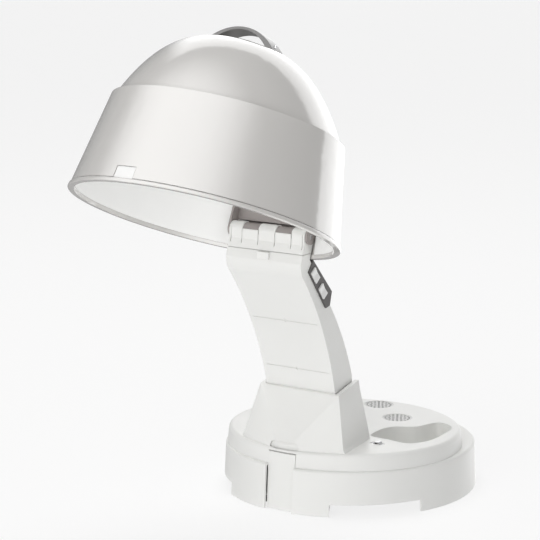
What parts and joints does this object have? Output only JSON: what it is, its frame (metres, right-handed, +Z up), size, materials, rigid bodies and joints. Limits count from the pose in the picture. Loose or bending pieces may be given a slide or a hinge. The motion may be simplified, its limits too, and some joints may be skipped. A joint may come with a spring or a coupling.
{
  "type": "hood hair dryer",
  "caption": "Tabletop hood hair dryer: oval bonnet with a domed top on a folding curved arm over an oval base with a deck tray and air grilles.",
  "frame": {"origin": "middle of the bounding box at the level the rubber feet stand on", "axes": "+Z up, front of the dryer and the lifted side of the hood towards -Y, the switches on the +X side"},
  "size_m": [0.3066, 0.6312, 0.5806],
  "materials": {
    "shell_white": "glossy white moulded plastic",
    "body_white": "satin off-white moulded plastic",
    "liner_white": "satin pale grey-white inner bonnet",
    "hinge_grey": "warm grey hinge block",
    "dark_trim": "dark grey bezel",
    "handle_grey": "dark grey strap handle",
    "rocker_white": "white rocker caps",
    "grille_grey": "light grey intake grille",
    "rubber_grey": "soft dark rubber",
    "screw_steel": "zinc plated screws, pins and springs",
    "plate_steel": "painted sheet steel bottom",
    "motor_steel": "motor can",
    "duct_black": "black heat resistant blower plastic",
    "mica": "mica board",
    "nichrome": "resistance wire"
  },
  "bodies": {
    "base": {"base_housing": "body_white", "base_bottom_plate": "plate_steel", "rubber_feet": "rubber_grey", "base_screws": "screw_steel", "cord_inlet": "rubber_grey", "top_cover": "body_white", "storage_tray": "body_white", "intake_grille_right": "grille_grey", "intake_grille_rear": "grille_grey", "deck_clip": "screw_steel", "arm_seal": "duct_black", "arm_pivot_pins": "screw_steel", "arm_pivot_washers": "duct_black", "latch_pin": "screw_steel", "latch_spring": "screw_steel", "blower_housing": "duct_black", "fan_motor": "motor_steel", "heater_frame": "mica", "heater_coils": "nichrome", "thermostat": "motor_steel"},
    "latch": {"latch_plate": "body_white"},
    "fan": {"motor_shaft": "screw_steel", "impeller": "duct_black"},
    "arm": {"arm_shell": "body_white", "arm_rear_cover": "body_white", "arm_screws": "screw_steel", "arm_hinge_head": "body_white", "head_snap_tab": "body_white", "switch_bezel": "dark_trim", "switch_bodies": "duct_black"},
    "heat_switch": {"heat_rocker": "rocker_white"},
    "speed_switch": {"speed_rocker": "rocker_white"},
    "levelling_shaft": {"hinge_shaft": "screw_steel"},
    "hood": {"hood_band": "shell_white", "hood_dome": "shell_white", "rim_bead": "shell_white", "latch_catch": "liner_white", "hood_liner": "liner_white", "hinge_bracket": "hinge_grey", "bracket_screws": "screw_steel", "carry_handle": "handle_grey", "handle_screws": "screw_steel"}
  },
  "joints": [
    {"name": "arm_fold", "type": "hinge", "parent": "base", "child": "arm", "pos_m": [0, 0.06075, 0.136], "axis": [-1, 0, 0], "range_deg": [0, 120]},
    {"name": "shaft_level", "type": "hinge", "parent": "arm", "child": "levelling_shaft", "pos_m": [0, -0.03175, 0.34], "axis": [1, 0, 0], "range_deg": [0, 120]},
    {"name": "hood_tilt", "type": "hinge", "parent": "levelling_shaft", "child": "hood", "pos_m": [0, -0.03175, 0.34], "axis": [1, 0, 0], "range_deg": [-0.3, 22.3]},
    {"name": "latch_press", "type": "hinge", "parent": "base", "child": "latch", "pos_m": [0, 0.00375, 0.027], "axis": [-1, 0, 0], "range_deg": [0, 3], "stiffness_Nm_per_rad": 0.6},
    {"name": "fan_spin", "type": "hinge", "parent": "base", "child": "fan", "pos_m": [-0.022, 0.20875, 0.044], "axis": [0, 0, 1], "continuous": true},
    {"name": "heat_select", "type": "hinge", "parent": "arm", "child": "heat_switch", "pos_m": [0.05, -0.01925, 0.2935], "axis": [0, 0.788, 0.6157], "range_deg": [-7, 7]},
    {"name": "speed_select", "type": "hinge", "parent": "arm", "child": "speed_switch", "pos_m": [0.05, -0.00275, 0.2725], "axis": [0, 0.788, 0.6157], "range_deg": [-7, 7]}
  ],
  "couplings": [
    {"joint": "shaft_level", "follows": "arm_fold", "ratio": 1}
  ]
}
